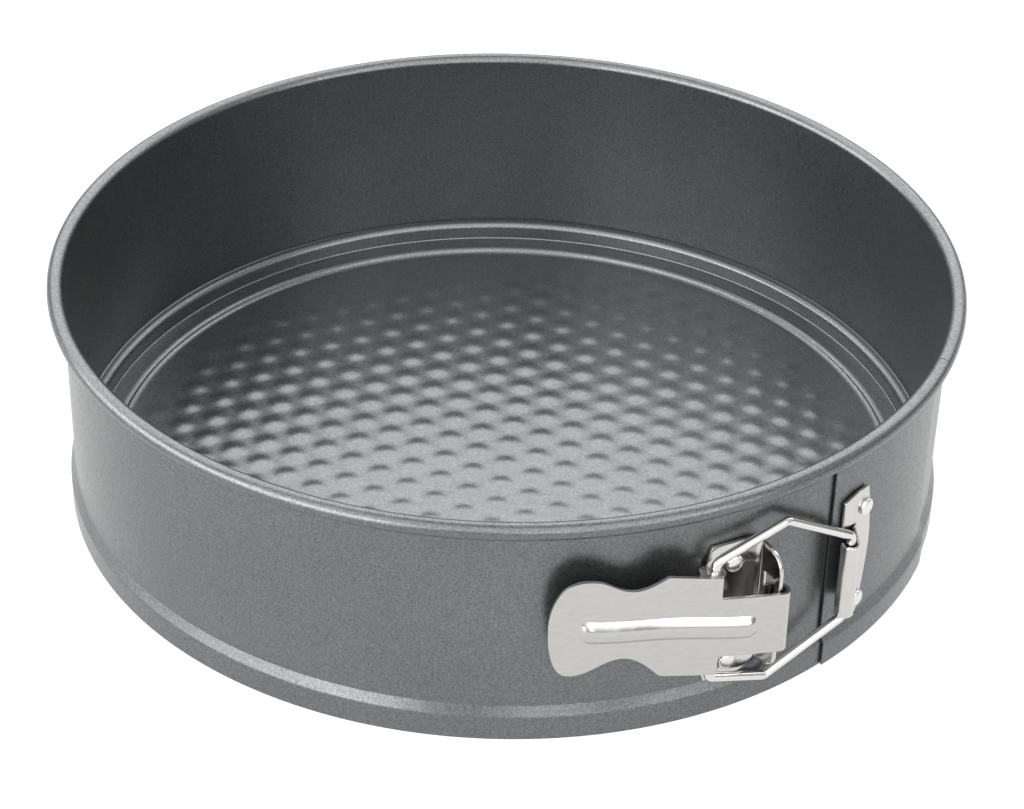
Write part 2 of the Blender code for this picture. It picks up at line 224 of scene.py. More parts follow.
class Nodes:
    """A short way to build one material's node tree."""

    def __init__(self, name):
        self.material = bpy.data.materials.new(name)
        self.material.use_nodes = True
        self.tree = self.material.node_tree
        self.shader = self.tree.nodes["Principled BSDF"]
        coordinates = self.tree.nodes.new("ShaderNodeTexCoord")
        self.place = coordinates.outputs["Object"]

    def link(self, source, target):
        self.tree.links.new(source, target)

    def stretched(self, scale):
        mapping = self.tree.nodes.new("ShaderNodeMapping")
        mapping.inputs["Scale"].default_value = scale
        self.link(self.place, mapping.inputs["Vector"])
        return mapping.outputs["Vector"]

    def noise(self, scale, detail=2.0, vector=None):
        node = self.tree.nodes.new("ShaderNodeTexNoise")
        node.inputs["Scale"].default_value = scale
        node.inputs["Detail"].default_value = detail
        self.link(vector or self.place, node.inputs["Vector"])
        return node.outputs["Fac"]

    def ramp(self, value, low, high, at=(0.0, 1.0)):
        """Value turned into a number or colour between low and high."""
        node = self.tree.nodes.new("ShaderNodeValToRGB")
        for stop, place, level in zip(node.color_ramp.elements, at, (low, high)):
            stop.position = place
            stop.color = (*level, 1.0) if isinstance(level, tuple) else (level,) * 3 + (1.0,)
        self.link(value, node.inputs["Fac"])
        return node.outputs["Color"]

    def mix(self, kind, factor, first, second):
        node = self.tree.nodes.new("ShaderNodeMix")
        node.data_type = "RGBA"
        node.blend_type = kind
        node.inputs["Factor"].default_value = factor
        self.link(first, node.inputs["A"])
        self.link(second, node.inputs["B"])
        return node.outputs["Result"]

    def bump(self, height, strength, distance, under=None):
        node = self.tree.nodes.new("ShaderNodeBump")
        node.inputs["Strength"].default_value = strength
        node.inputs["Distance"].default_value = distance
        self.link(height, node.inputs["Height"])
        if under:
            self.link(under, node.inputs["Normal"])
        return node.outputs["Normal"]


def coating(name, tone, speckle, roughness):
    """Dark non-stick coating with a fine metallic grain and faint cloudiness."""
    made = Nodes(name)
    low = tuple(channel * (1.0 - speckle) for channel in tone)
    high = tuple(channel * (1.0 + speckle) for channel in tone)
    grain = made.noise(1900.0, 3.0)
    clouds = made.noise(38.0, 2.0)
    colour = made.ramp(grain, low, high, (0.3, 0.7))
    veil = made.ramp(clouds, 0.93, 1.0, (0.3, 0.7))
    made.link(made.mix("MULTIPLY", 1.0, colour, veil), made.shader.inputs["Base Color"])
    rough = made.ramp(made.noise(900.0), roughness - 0.05, roughness + 0.06, (0.3, 0.7))
    made.link(rough, made.shader.inputs["Roughness"])
    made.link(made.bump(grain, 0.22, 0.00005), made.shader.inputs["Normal"])
    made.shader.inputs["Metallic"].default_value = 0.92
    return made.material


def plated(name, tone, roughness, grain_scale, along):
    """Bright plated steel: soft rolling marks along one direction, and faint scuffs."""
    made = Nodes(name)
    lines = made.noise(grain_scale, 2.0, made.stretched(along))
    scuffs = made.noise(160.0, 4.0)
    low = tuple(channel * 0.95 for channel in tone)
    made.link(made.ramp(lines, low, tone, (0.35, 0.65)), made.shader.inputs["Base Color"])
    rough = made.mix("ADD", 1.0, made.ramp(lines, roughness - 0.03, roughness + 0.03, (0.3, 0.7)),
                     made.ramp(scuffs, 0.0, 0.08, (0.5, 0.75)))
    made.link(rough, made.shader.inputs["Roughness"])
    made.link(made.bump(lines, 0.03, 0.00002), made.shader.inputs["Normal"])
    made.shader.inputs["Metallic"].default_value = 1.0
    return made.material


COAT = coating("band_coating", (0.148, 0.153, 0.156), 0.3, 0.31)
FLOOR_COAT = coating("floor_coating_finish", (0.168, 0.172, 0.175), 0.2, 0.30)
LEVER_STEEL = plated("lever_steel", (0.48, 0.475, 0.462), 0.2, 900.0, (0.5, 0.5, 1.2))
PLATE_STEEL = plated("plate_steel", (0.56, 0.55, 0.535), 0.15, 900.0, (1.0, 1.0, 0.2))
WIRE_STEEL = plated("wire_steel", (0.66, 0.65, 0.63), 0.1, 1500.0, (1.0, 1.0, 1.0))
RIVET_STEEL = plated("rivet_finish", (0.7, 0.7, 0.69), 0.26, 1200.0, (1.0, 1.0, 1.0))


# ---------------------------------------------------------------- band

def band_profile():
    """Middle line of the band's sheet, from the rolled rim's edge down, as (radius, height)."""
    crease_r, corner_r, turn = 0.3 * MM, 1.5 * MM, math.radians(SHOULDER)
    wall_end, wall_steps = CREASE_H + 0.5 * MM, 8
    skirt = WALL_R + SKIRT_OUT
    roll = arc((WALL_R + CURL_R, RIM_TOP - CURL_R - BAND_T / 2), CURL_R, ROLL_FROM, ROLL_TO, 26)
    wall = [(WALL_R, FLAP_TOP + (wall_end - FLAP_TOP) * i / wall_steps)
            for i in range(wall_steps + 1)]
    crease = arc((WALL_R + crease_r, CREASE_H), crease_r, 180.0, 180.0 + SHOULDER, 3)
    run = skirt - corner_r * (1.0 - math.cos(turn)) - crease[-1][0]
    corner_h = crease[-1][1] - run / math.tan(turn) - corner_r * math.sin(turn)
    corner = arc((skirt - corner_r, corner_h), corner_r, SHOULDER, 0.0, 5)
    lower = [(skirt, corner_h * share) for share in (0.7, 0.4, 0.15, 0.0)]
    return roll + wall + crease + corner + lower, len(roll)


PROFILE, ROLL_POINTS = band_profile()


def band_columns(start, end):
    count = max(1, round((end - start) / COLUMN))
    return [start + (end - start) * i / count for i in range(count + 1)]


def band_piece(name, start, end, step=lambda azimuth, height: 0.0, flap=False):
    stations = band_columns(start, end)

    def place(i, j):
        radius, height = PROFILE[j]
        return polar(radius + step(stations[i], height), stations[i], lift(height))

    def keep(i, j):
        return not flap or j >= ROLL_POINTS or stations[i] >= CURL_JOINT

    piece = grid_sheet(name, len(stations) - 1, len(PROFILE) - 1, place, keep)
    thicken(piece, BAND_T)
    return apply_modifiers(piece, 50.0)


def outer_end_step(azimuth, height):
    """How far the outer end stands off: full over the flap, fading past it and up to the rim."""
    along = 1.0 - smoothstep((azimuth - CURL_JOINT) / JOGGLE)
    fading = 1.0 - smoothstep((height - FLAP_TOP) / JOGGLE_RISE)
    up = 1.0 if azimuth < CURL_JOINT else fading
    return FLAP_STEP * along * up


def make_band():
    left = band_piece("band_left", BEND_LEFT, 360.0 + CURL_JOINT - RIM_GAP)
    finish_piece(left, "band_left", ["band_left_half"], COAT)
    right = band_piece("band_right", SEAM, BEND_RIGHT, outer_end_step, True)
    finish_piece(right, "band_right", ["band_right_half"], COAT)
    back = band_piece("band_back", BEND_RIGHT, BEND_LEFT)
    finish_piece(back, None, [], COAT)
    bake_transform(back)


# ---------------------------------------------------------------- floor plate

def bump_height(spot, centre):
    """Rounded dimple, lower near the edge of the patterned area and none beyond it."""
    if centre.length >= BUMP_FIELD:
        return 0.0
    fade = 1.0 - smoothstep((centre.length / BUMP_FIELD - FADE_FROM) / FADE_OVER)
    away = (spot - centre).length / BUMP_R
    tall = BUMP_H * (EDGE_BUMP + (1.0 - EDGE_BUMP) * fade)
    return tall * (1.0 - away * away) ** 2 if away < 1.0 else 0.0


def floor_field():
    """Points of a triangular net aligned with the bumps, their heights, and the edge's circle."""
    first = polar(BUMP_PITCH, BUMP_AXIS).to_2d()
    second = polar(BUMP_PITCH, BUMP_AXIS + 60.0).to_2d()
    start = Vector(BUMP_START)
    reach = (int(1.2 * FIELD_EDGE / BUMP_PITCH) + 1) * BUMP_PARTS
    points, heights = [], []
    for i in range(-reach, reach + 1):
        for j in range(-reach, reach + 1):
            spot = start + first * (i / BUMP_PARTS) + second * (j / BUMP_PARTS)
            if spot.length < FIELD_EDGE - 0.6 * MM:
                near = [start + first * (i // BUMP_PARTS + a) + second * (j // BUMP_PARTS + b)
                        for a in (0, 1) for b in (0, 1)]
                centre = min(near, key=lambda place: (place - spot).length)
                points.append(spot)
                heights.append(bump_height(spot, centre))
    points += [polar(FIELD_EDGE, 360.0 * i / RIM_SPOKES).to_2d() for i in range(RIM_SPOKES)]
    return points, heights + [0.0] * RIM_SPOKES


def floor_rim_profile():
    """Top of the plate outside the bumps: step, ring, fold, crown and the lip's outer face."""
    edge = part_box("floor_plate")[1]
    outer, crown = edge.x, edge.z
    lip_top, lip_low = crown - 2.4 * MM, 2.6 * MM
    ring, bend, lean = FLOOR_T + RING_Z, 2.3 * MM, 49.0
    reach = bend * math.sin(math.radians(lean))
    path = [(FIELD_EDGE, FLOOR_T)]
    path += arc((STEP_R - reach, FLOOR_T + bend), bend, 270.0, 270.0 + lean, 6)
    path += arc((STEP_R + reach, ring - bend), bend, 90.0 + lean, 90.0, 6)
    foot, swell_r, corner = 0.5 * MM, 2.1 * MM, 0.4 * MM
    fold = outer - corner - swell_r
    path += arc((fold - foot, ring + foot), foot, 270.0, 360.0, 6)
    path += arc((fold + swell_r, crown - swell_r), swell_r, 180.0, 90.0, 12)
    path += arc((outer - corner, crown - corner), corner, 90.0, 0.0, 5)[1:]
    return path + [(outer, lip_top), (outer, lip_low)]


def make_floor():
    points, heights = floor_field()
    flat, _, faces, *_ = delaunay_2d_cdt([point / MM for point in points], [], [], 0, 1e-4)
    mesh = bpy.data.meshes.new("floor")
    shaper = bmesh.new()
    corners = [shaper.verts.new((spot.x * MM, spot.y * MM, FLOOR_T + height))
               for spot, height in zip(flat, heights)]
    for face in faces:
        shaper.faces.new([corners[k] for k in face])
    before = corners[-RIM_SPOKES:]
    for radius, z in floor_rim_profile()[1:]:
        ring = [shaper.verts.new(polar(radius, 360.0 * i / RIM_SPOKES, z))
                for i in range(RIM_SPOKES)]
        for i in range(RIM_SPOKES):
            follow = (i + 1) % RIM_SPOKES
            shaper.faces.new((before[i], ring[i], ring[follow], before[follow]))
        before = ring
    bmesh.ops.recalc_face_normals(shaper, faces=shaper.faces)
    shaper.normal_update()
    if sum(face.normal.z for face in shaper.faces) < 0.0:
        bmesh.ops.reverse_faces(shaper, faces=shaper.faces)
    shaper.to_mesh(mesh)
    shaper.free()
    plate = add_object("floor", mesh)
    thicken(plate, FLOOR_SHEET, -1.0, False)
    plate = apply_modifiers(plate, 60.0)
    finish_piece(plate, "pan_floor", ["floor_plate"], FLOOR_COAT)


# ---------------------------------------------------------------- lever

HEM_R, HEM_MIDDLE = 2.15 * MM, 0.8 * MM
SWING_FROM, SWING_TO = 12.0, 24.0    # degrees the lever leans in, at the hem and at its end
TONGUE, NOTCH = 9.5 * MM, 16.3 * MM  # half-width by the hem, and where the wide part starts
LEAF, LEAF_STEP = 4, 0.95 * MM       # columns of the hem's flat leaf behind the lever
WING = 4                             # rows of the wide part beyond the tongue, at each edge
WING_SHARE = 0.4                     # what those rows add to a row's number
NARROW = 0.93                        # most of the width that the inner rows may take up
EAR_ROOT, EAR_FAR = 17.5 * MM, 22.4 * MM
HOOK_RING_R = 1.45 * MM
VALID_FACES = 4                      # the triangulation's mode for faces that a mesh can take


def lever_spot(along):
    """Middle line of the lever from above. Negative along runs round the hem, in degrees."""
    start = math.radians(90.0 + SWING_FROM)
    x, y = HEM_MIDDLE + HEM_R * math.cos(start), HEM_R * math.sin(start)
    if along < 0.0:
        angle = math.radians(90.0 + SWING_FROM + along)
        return HEM_MIDDLE + HEM_R * math.cos(angle), HEM_R * math.sin(angle)
    steps = 40
    for i in range(steps):
        turn = SWING_FROM + (SWING_TO - SWING_FROM) * (i + 0.5) / steps * along / LEVER_LENGTH
        x -= math.cos(math.radians(turn)) * along / steps
        y -= math.sin(math.radians(turn)) * along / steps
    return x, y


def quarter(share):
    return 1.0 - math.sin(math.pi / 2 * share)


def swell(share):
    return 0.5 - 0.5 * math.cos(math.pi * share)


def lever_top(along):
    """Height of the upper edge over the middle line."""
    wide, corner_at, waist_at, lobe_at = 15.2 * MM, 30.1 * MM, 38.9 * MM, LOBE
    corner, waist, lobe, reach = 16.2 * MM, 12.2 * MM, 14.9 * MM, 11.05 * MM
    if along < NOTCH:
        return TONGUE
    if along < corner_at:
        return wide + (corner - wide) * (along - NOTCH) / (corner_at - NOTCH)
    if along < waist_at:
        return waist + (corner - waist) * quarter((along - corner_at) / (waist_at - corner_at))
    if along < lobe_at:
        return waist + (lobe - waist) * swell((along - waist_at) / (lobe_at - waist_at))
    return lobe * (1.0 - ((along - lobe_at) / reach) ** 2.7) ** 0.5


def lever_bottom(along):
    wide, corner_at, waist_at, lobe_at = 14.5 * MM, 31.1 * MM, 40.3 * MM, 53.8 * MM
    corner, waist, lobe, reach = 13.9 * MM, 8.1 * MM, 13.6 * MM, 5.45 * MM
    if along < NOTCH:
        return -TONGUE
    if along < corner_at:
        return -wide + (wide - corner) * (along - NOTCH) / (corner_at - NOTCH)
    if along < waist_at:
        return -waist - (corner - waist) * quarter((along - corner_at) / (waist_at - corner_at))
    if along < lobe_at:
        return -waist - (lobe - waist) * swell((along - waist_at) / (lobe_at - waist_at))
    return -lobe * (1.0 - ((along - lobe_at) / reach) ** 2.7) ** 0.5


def rib_height(along, up):
    """The stiffening rib: a rounded ridge with round ends and a slight dip in its run."""
    start, end, half, tall = 9.2 * MM, 48.6 * MM, 3.3 * MM, 1.55 * MM
    level, wave = 0.3 * MM, 0.45 * MM
    middle = level - wave * math.cos(2.0 * math.pi * (along - start) / (end - start))
    beyond = max(start - along, 0.0, along - end)
    away = math.hypot(beyond, up - middle) / half
    return tall * (1.0 - away * away) ** 1.1 if away < 1.0 else 0.0


def lever_stations():
    """Columns of the lever: round the hem in degrees below zero, then along its length.

    The third value is the first column of the wide part.
    """
    hem = [-(90.0 + SWING_FROM + 90.0) * (1.0 - i / 20) for i in range(20)]
    tongue = [NOTCH * i / 18 for i in range(18)]
    fine = 0.02 * MM
    neck = [NOTCH - fine, NOTCH + fine] + [NOTCH + (LOBE - NOTCH) * i / 44 for i in range(1, 44)]
    end = [LOBE + (LEVER_LENGTH - LOBE) * math.sin(math.pi / 2 * i / 22) for i in range(23)]
    return hem, tongue + neck + end, LEAF + len(hem) + len(tongue) + 1


def lever_rows():
    """Rows across the lever: -1 to 1 over the tongue, dense for the rib, and the wings beyond."""
    steps = 46
    core = [-1.0 + 2.0 * j / steps for j in range(steps + 1)]
    wing = [1.0 + WING_SHARE * (j + 1) / WING for j in range(WING)]
    return [-row for row in reversed(wing)] + core + wing


def make_lever():
    hem, straight, wide_column = lever_stations()
    stations = hem + straight
    rows = lever_rows()

    def row_height(along, row):
        top, bottom = lever_top(along), lever_bottom(along)
        core_top, core_bottom = min(TONGUE, NARROW * top), max(-TONGUE, NARROW * bottom)
        if row > 1.0:
            return core_top + (top - core_top) * (row - 1.0) / WING_SHARE
        if row < -1.0:
            return core_bottom + (bottom - core_bottom) * (-row - 1.0) / WING_SHARE
        return core_top * row if row > 0.0 else -core_bottom * row

    def place(i, j):
        if i < LEAF:
            x, y = lever_spot(stations[0])
            x -= (LEAF - i) * LEAF_STEP
            up = rows[j] * TONGUE
        else:
            along = stations[i - LEAF]
            x, y = lever_spot(along)
            up = row_height(max(along, 0.0), rows[j])
            if along > 0.0:
                turn = math.radians(SWING_FROM + (SWING_TO - SWING_FROM) * along / LEVER_LENGTH)
                proud = rib_height(along, up)
                x -= proud * math.sin(turn)
                y += proud * math.cos(turn)
        return latch_point(x, y, MID - LEVER_RISE * x + up)

    def keep(i, j):
        return WING <= j < len(rows) - 1 - WING or i >= wide_column

    lever = grid_sheet("lever_plate", len(stations) + LEAF - 1, len(rows) - 1, place, keep)
    add_ears(lever)
    thicken(lever, SHEET)
    round_edges(lever, 0.22 * MM)
    lever = apply_modifiers(lever, 45.0)
    finish_piece(lever, "latch_lever", ["lever"], LEVER_STEEL)


def ear_outline():
    """The ear from above: its outline, from the lever's plate out and back, and a ring in it."""
    round_r, waist = 3.0 * MM, Vector((-4.3 * MM, -0.6 * MM))
    left, hook = Vector((-1.4 * MM, 0.0)), Vector(HOOK)
    outline = [Vector(lever_spot(NOTCH)), Vector(lever_spot(EAR_FAR)), hook + waist]
    outline += [hook + left + Vector(spot) for spot in arc((0.0, 0.0), round_r, 205.0, 285.0, 6)]
    outline += [hook + Vector(spot) for spot in arc((0.0, 0.0), 0.85 * round_r, 290.0, 385.0, 7)]
    ring = [hook + Vector(spot) for spot in arc((0.0, 0.0), HOOK_RING_R, 0.0, 345.0, 23)]
    return outline, ring


def add_ears(lever):
    """Tabs turned in from the wide part's long edges, which the wire's ends pass through.

    The ring stays filled: it gives the mesh points round the wire and opens no hole.
    """
    rings = ear_outline()
    points = [point / MM for ring in rings for point in ring]
    edges, first = [], 0
    for ring in rings:
        edges += [(first + k, first + (k + 1) % len(ring)) for k in range(len(ring))]
        first += len(ring)
    flat, _, faces, *_ = delaunay_2d_cdt(points, edges, [], VALID_FACES, 1e-4)
    run = 3.0 * MM
    for edge, sign in ((lever_top, 1.0), (lever_bottom, -1.0)):
        slope = LEVER_RISE + sign * (edge(EAR_ROOT + run) - edge(EAR_ROOT)) / run
        level = MID - LEVER_RISE * HOOK[0] + edge(EAR_ROOT) - sign * SHEET / 2
        shaper = bmesh.new()
        shaper.from_mesh(lever.data)
        corners = []
        for x, y in flat:
            height = level - slope * (x * MM - HOOK[0])
            corners.append(shaper.verts.new(latch_point(x * MM, y * MM, height)))
        for face in faces:
            shaper.faces.new([corners[k] for k in face])
        shaper.to_mesh(lever.data)
        shaper.free()


# ---------------------------------------------------------------- base bracket

BRACKET_R, BRACKET_T = 120.8 * MM, 1.0 * MM
BRACKET_TOP, BRACKET_LOW = 52.0 * MM, 10.8 * MM
WINDOW_LOW, WINDOW_HIGH = 19.8 * MM, 42.2 * MM
WINDOW_IN, WINDOW_OUT = -5.6 * MM, -1.2 * MM
EAR_IN, EAR_OUT = -6.4 * MM, 1.2 * MM
PLATE_EDGE, PLATE_CHAMFER, PLATE_FOLD = -108.9, -108.1, -103.2     # stations, in degrees
CHAMFER = 5.0 * MM
END_COLUMNS, END_ROWS, WINDOW_COLUMNS, WINDOW_ROWS = 5, 5, 4, 8


def bracket_columns():
    """Columns of the plate, the fold and the ear, from the plate's far edge to the ear's."""
    plate = [("plate", PLATE_EDGE)]
    plate += [("plate", PLATE_CHAMFER + i * (PLATE_FOLD - PLATE_CHAMFER) / END_COLUMNS)
              for i in range(END_COLUMNS + 1)]
    local = polar(BRACKET_R, PLATE_FOLD) - Vector((PIVOT.x, PIVOT.y, 0.0))
    start = Vector((local.dot(ACROSS), local.dot(OUTWARD)))
    corner, end = Vector((0.0, start.y)), Vector((0.0, EAR_IN))
    fold = []
    for i in range(1, END_COLUMNS + 1):
        share = i / (END_COLUMNS + 1)
        fold.append(("flat", start.lerp(corner, share).lerp(corner.lerp(end, share), share)))
    outs = [EAR_IN, WINDOW_IN]
    outs += [WINDOW_IN + (WINDOW_OUT - WINDOW_IN) * i / WINDOW_COLUMNS for i in range(1, WINDOW_COLUMNS)]
    outs += [WINDOW_OUT, -0.4 * MM, 0.5 * MM, EAR_OUT]
    ear = [("flat", Vector((0.0, out))) for out in outs]
    return plate, fold, ear


def make_bracket():
    """Riveted plate, a rounded fold, and the ear whose outer strip is the pivot bar."""
    plate, fold, ear = bracket_columns()
    columns = plate + fold + ear
    window_first = len(plate) + len(fold) + 1
    levels = [BRACKET_LOW + (WINDOW_LOW - BRACKET_LOW) * i / END_ROWS for i in range(END_ROWS)]
    levels += [WINDOW_LOW + (WINDOW_HIGH - WINDOW_LOW) * i / WINDOW_ROWS for i in range(WINDOW_ROWS)]
    levels += [WINDOW_HIGH + (BRACKET_TOP - WINDOW_HIGH) * i / END_ROWS for i in range(END_ROWS + 1)]

    def cut_back(i, drop, round_h):
        """How far the plate's chamfer, or the ear's drawn-in round end, takes off a column."""
        kind, spot = columns[i]
        if kind == "plate":
            return CHAMFER * max(0.0, 1.0 - i)
        share = max(0.0, (spot.y + 5.0 * MM) / (6.2 * MM))
        drop *= min(1.0, max(0.0, (i - len(plate) + 1) / END_COLUMNS))
        return drop + round_h * (1.0 - math.sqrt(max(0.0, 1.0 - share * share)))

    def place(i, j):
        kind, spot = columns[i]
        height = levels[j]
        if height > WINDOW_HIGH:
            share = (height - WINDOW_HIGH) / (BRACKET_TOP - WINDOW_HIGH)
            height -= cut_back(i, 1.9 * MM, 5.2 * MM) * share
        elif height < WINDOW_LOW:
            share = (WINDOW_LOW - height) / (WINDOW_LOW - BRACKET_LOW)
            height += cut_back(i, 4.0 * MM, 4.2 * MM) * share
        if kind == "plate":
            return polar(BRACKET_R, spot, lift(height))
        return latch_point(spot.x, spot.y, height)

    def keep(i, j):
        in_window = window_first <= i < window_first + WINDOW_COLUMNS
        return not (in_window and END_ROWS <= j < END_ROWS + WINDOW_ROWS)

    bracket = grid_sheet("bracket", len(columns) - 1, len(levels) - 1, place, keep)
    thicken(bracket, BRACKET_T)
    round_edges(bracket, 0.2 * MM)
    bracket = apply_modifiers(bracket, 45.0)
    finish_piece(bracket, "band_left", ["base_bracket"], PLATE_STEEL)


# ---------------------------------------------------------------- catch

CATCH_R = 121.55 * MM
CATCH_TOP, CATCH_LOW = 50.7 * MM, 10.8 * MM
SLOT_LOW, SLOT_HIGH = 39.6 * MM, 41.4 * MM
ROLL_LOW = 17.6 * MM
CATCH_RIGHT, CATCH_LEFT = -83.0, -86.0     # the plate's stations, in degrees
TAB_REACH = 2.5                            # degrees that the upper tab runs on
TAB_SLOPE_FROM, TAB_SLOPE = 44.0 * MM, 1.3 * MM


def catch_right_edge(height):
    """The plate's outer edge is widest below the slot and draws in towards both ends."""
    widest, above, below, draw_in = 33.0 * MM, 18.0 * MM, 22.0 * MM, 1.2
    share = (height - widest) / (above if height > widest else below)
    return -82.9 - draw_in * min(1.0, abs(share)) ** 1.5


def make_catch():
    """Riveted plate whose inner edge swells out over the wire and rolls round it."""
    eye = latch_point(*EYE, 0.0)
    azimuth = math.degrees(math.atan2(eye.y, eye.x))
    out, along = polar(1.0, azimuth), polar(1.0, azimuth + 90.0)
    width = CATCH_LEFT - CATCH_RIGHT
    plate = [CATCH_RIGHT + width * i / 5 for i in range(6)]
    roll = arc((0.0, 0.0), 2.1 * MM, 31.0, 232.0, 18)
    tab = [CATCH_LEFT - TAB_REACH * (i + 1) / len(roll) for i in range(len(roll))]
    low_rows, roll_rows, top_rows = 4, 8, 6
    levels = [CATCH_LOW + (ROLL_LOW - CATCH_LOW) * i / low_rows for i in range(low_rows)]
    levels += [ROLL_LOW + (SLOT_LOW - ROLL_LOW) * i / roll_rows for i in range(roll_rows + 1)]
    levels += [SLOT_HIGH + (CATCH_TOP - SLOT_HIGH) * i / top_rows for i in range(top_rows + 1)]

    def place(i, j):
        height = levels[j]
        if i < len(plate):
            share = (plate[i] - CATCH_LEFT) / -width
            azimuth_here = CATCH_LEFT + (catch_right_edge(height) - CATCH_LEFT) * share
            return polar(CATCH_R, azimuth_here, lift(height))
        k = i - len(plate)
        if height >= SLOT_HIGH:
            rise = max(0.0, (height - TAB_SLOPE_FROM) / (CATCH_TOP - TAB_SLOPE_FROM))
            return polar(CATCH_R, tab[k], lift(height - TAB_SLOPE * k / len(roll) * rise))
        flat = eye + along * roll[k][0] + out * roll[k][1]
        return Vector((flat.x, flat.y, lift(height)))

    def keep(i, j):
        in_roll = low_rows <= j < low_rows + roll_rows
        return i < len(plate) - 1 or in_roll or j > low_rows + roll_rows

    catch = grid_sheet("catch_plate", len(plate) + len(roll) - 1, len(levels) - 1, place, keep)
    thicken(catch, SHEET)
    round_edges(catch, 0.2 * MM)
    catch = apply_modifiers(catch, 45.0)
    finish_piece(catch, "band_right", ["catch"], PLATE_STEEL)


# ---------------------------------------------------------------- wire and rivets

def wire_point(along, height):
    share = along / (Vector(EYE) - Vector(HOOK)).length
    spot = Vector(HOOK).lerp(Vector(EYE), share)
    return latch_point(spot.x, spot.y, height)


def rounded(points, radius, count=8):
    """A path of straight runs in space, with its corners turned to arcs."""
    path = [points[0]]
    for before, corner, after in zip(points, points[1:], points[2:]):
        back = (before - corner).normalized()
        ahead = (after - corner).normalized()
        half = back.angle(ahead) / 2
        cut = min(radius / math.tan(half), 0.45 * min((before - corner).length,
                                                       (after - corner).length))
        start, end = corner + back * cut, corner + ahead * cut
        for i in range(count + 1):
            share = i / count
            path.append(start.lerp(corner, share).lerp(corner.lerp(end, share), share))
    path.append(points[-1])
    return path


def make_wire():
    """The bail's route, in millimetres from the hook and over the table. None is the catch."""
    length = (Vector(EYE) - Vector(HOOK)).length
    route = [(0.0, 46.2), (0.0, 50.9), (21.3, 55.2), (None, 42.0), (None, 16.8), (18.0, 8.2),
             (0.0, 15.4), (0.0, 20.3)]
    points = [wire_point(length if along is None else along * MM, height * MM)
              for along, height in route]
    curve = bpy.data.curves.new("wire", "CURVE")
    curve.dimensions = "3D"
    curve.bevel_depth = WIRE_R
    curve.bevel_resolution = 6
    curve.use_fill_caps = True
    path = rounded(points, 2.4 * MM)
    spline = curve.splines.new("POLY")
    spline.points.add(len(path) - 1)
    for target, point in zip(spline.points, path):
        target.co = (*point, 1.0)
    wire = apply_modifiers(add_object("wire", curve), 60.0)
    finish_piece(wire, "latch_wire", ["wire_bail"], WIRE_STEEL)


RIVET_TOP = {"base": 122.6 * MM, "catch": 123.3 * MM}      # the heads' tops, from the pan's axis
RIVET_HEAD, RIVET_DOME, RIVET_CHAMFER = 1.3 * MM, 0.85 * MM, 0.12 * MM
RIVET_SHANK, RIVET_TAIL_R = 1.25 * MM, 119.45 * MM


def make_rivet(node, body):
    """Domed head with a short straight side, shank, and a tail that shows inside the wall."""
    low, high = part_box(node)
    middle = (low + high) / 2
    azimuth = math.degrees(math.atan2(middle.y, middle.x))
    head_r = (high.z - low.z) / 2
    under = RIVET_TOP[node.split("_")[0]] - RIVET_HEAD
    spring = under + 0.5 * MM
    turns = [math.radians(angle) for angle in range(0, 91, 9)]
    points = [(head_r * math.sin(a), spring + RIVET_DOME * math.cos(a)) for a in turns]
    points += [(head_r, under + RIVET_CHAMFER), (head_r - RIVET_CHAMFER, under), (RIVET_SHANK, under)]
    points += [(RIVET_SHANK, RIVET_TAIL_R), (0.0, RIVET_TAIL_R)]
    edges = [(i, i + 1) for i in range(len(points) - 1)]
    mesh = bpy.data.meshes.new(node)
    mesh.from_pydata([(radius, 0.0, z) for radius, z in points], edges, [])
    rivet = add_object(node.replace("rivet", "rivet_head"), mesh)
    screw = rivet.modifiers.new("turn", "SCREW")
    screw.steps = screw.render_steps = 32
    screw.use_merge_vertices = True
    screw.merge_threshold = 1e-6
    rivet = apply_modifiers(rivet, 50.0)
    facing = Matrix.Rotation(math.radians(90), 4, "Y")
    turned = Matrix.Rotation(math.radians(azimuth), 4, "Z") @ facing
    rivet.data.transform(Matrix.Translation(Vector((0.0, 0.0, middle.z))) @ turned)
    finish_piece(rivet, body, [node], RIVET_STEEL)


def make_rivets():
    for node in ("base_rivet_upper", "base_rivet_lower"):
        make_rivet(node, "band_left")
    for node in ("catch_rivet_upper", "catch_rivet_lower"):
        make_rivet(node, "band_right")


# ---------------------------------------------------------------- studio

